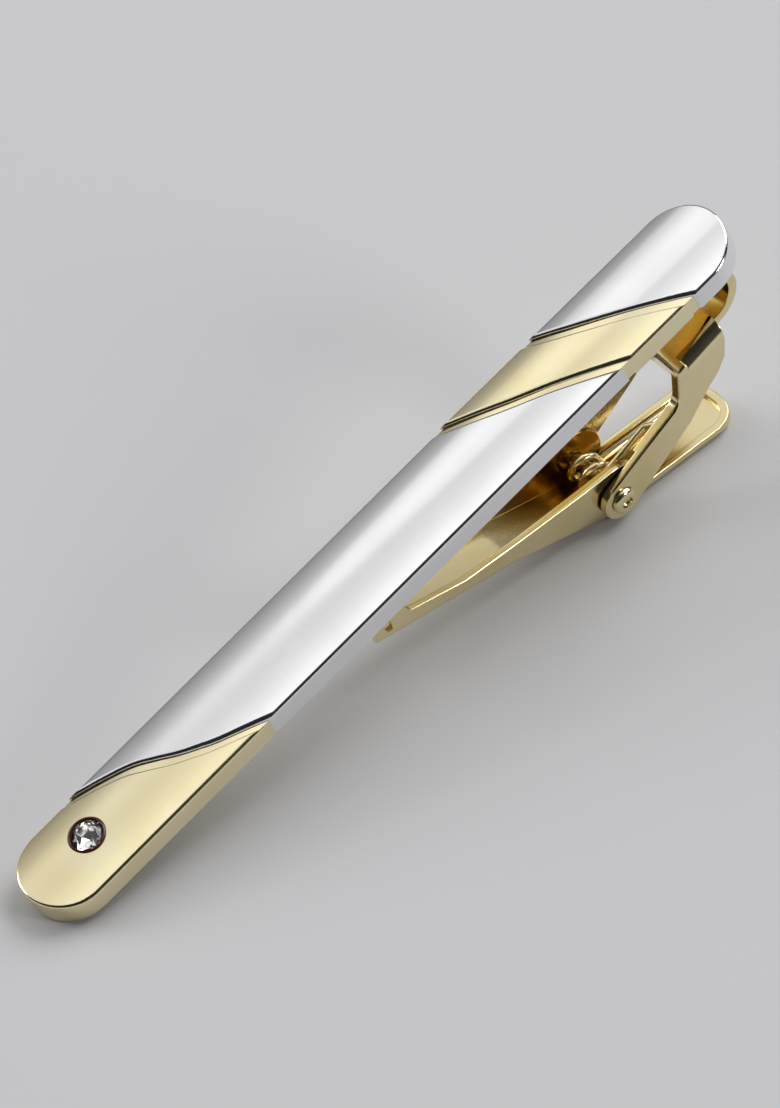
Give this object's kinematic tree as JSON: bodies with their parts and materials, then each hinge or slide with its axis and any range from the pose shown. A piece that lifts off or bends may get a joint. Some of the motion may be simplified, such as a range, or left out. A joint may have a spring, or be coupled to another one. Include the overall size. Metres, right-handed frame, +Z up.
{
  "type": "tie clip",
  "caption": "Two-tone tie clip: a crowned bar with slanted seams and a set stone, held on the tie by a sprung alligator jaw hung from a hook.",
  "frame": {"origin": "middle of the clip's footprint, on the table that it lies on", "axes": "+X along the clip from the stone's end to the hinge end, +Y across it, +Z up from the table"},
  "size_m": [0.0566, 0.0064, 0.016],
  "materials": {
    "gold_plate": "polished pale gold plate",
    "silver_plate": "polished silver-coloured plate",
    "clear_stone": "clear, faceted",
    "spring_wire": "gold-plated spring wire"
  },
  "bodies": {
    "bar": {"bar_body": "gold_plate", "main_panel": "silver_plate", "end_panel": "silver_plate", "crystal": "clear_stone", "bracket": "gold_plate"},
    "link": {"link": "gold_plate", "rivet": "gold_plate"},
    "jaw": {"jaw": "gold_plate", "spring": "spring_wire"}
  },
  "joints": [
    {"name": "link_rock", "type": "hinge", "parent": "bar", "child": "link", "pos_m": [0.02437, 0, 0.00939], "axis": [0, -1, 0], "range_deg": [0, 6], "stiffness_Nm_per_rad": 0.002, "springref_deg": -22.92},
    {"name": "jaw_pivot", "type": "hinge", "parent": "link", "child": "jaw", "pos_m": [0.01607, 0, 0.00176], "axis": [0, -1, 0], "range_deg": [0, 25], "stiffness_Nm_per_rad": 0.002, "springref_deg": -22.92, "deforming": ["spring"]}
  ]
}
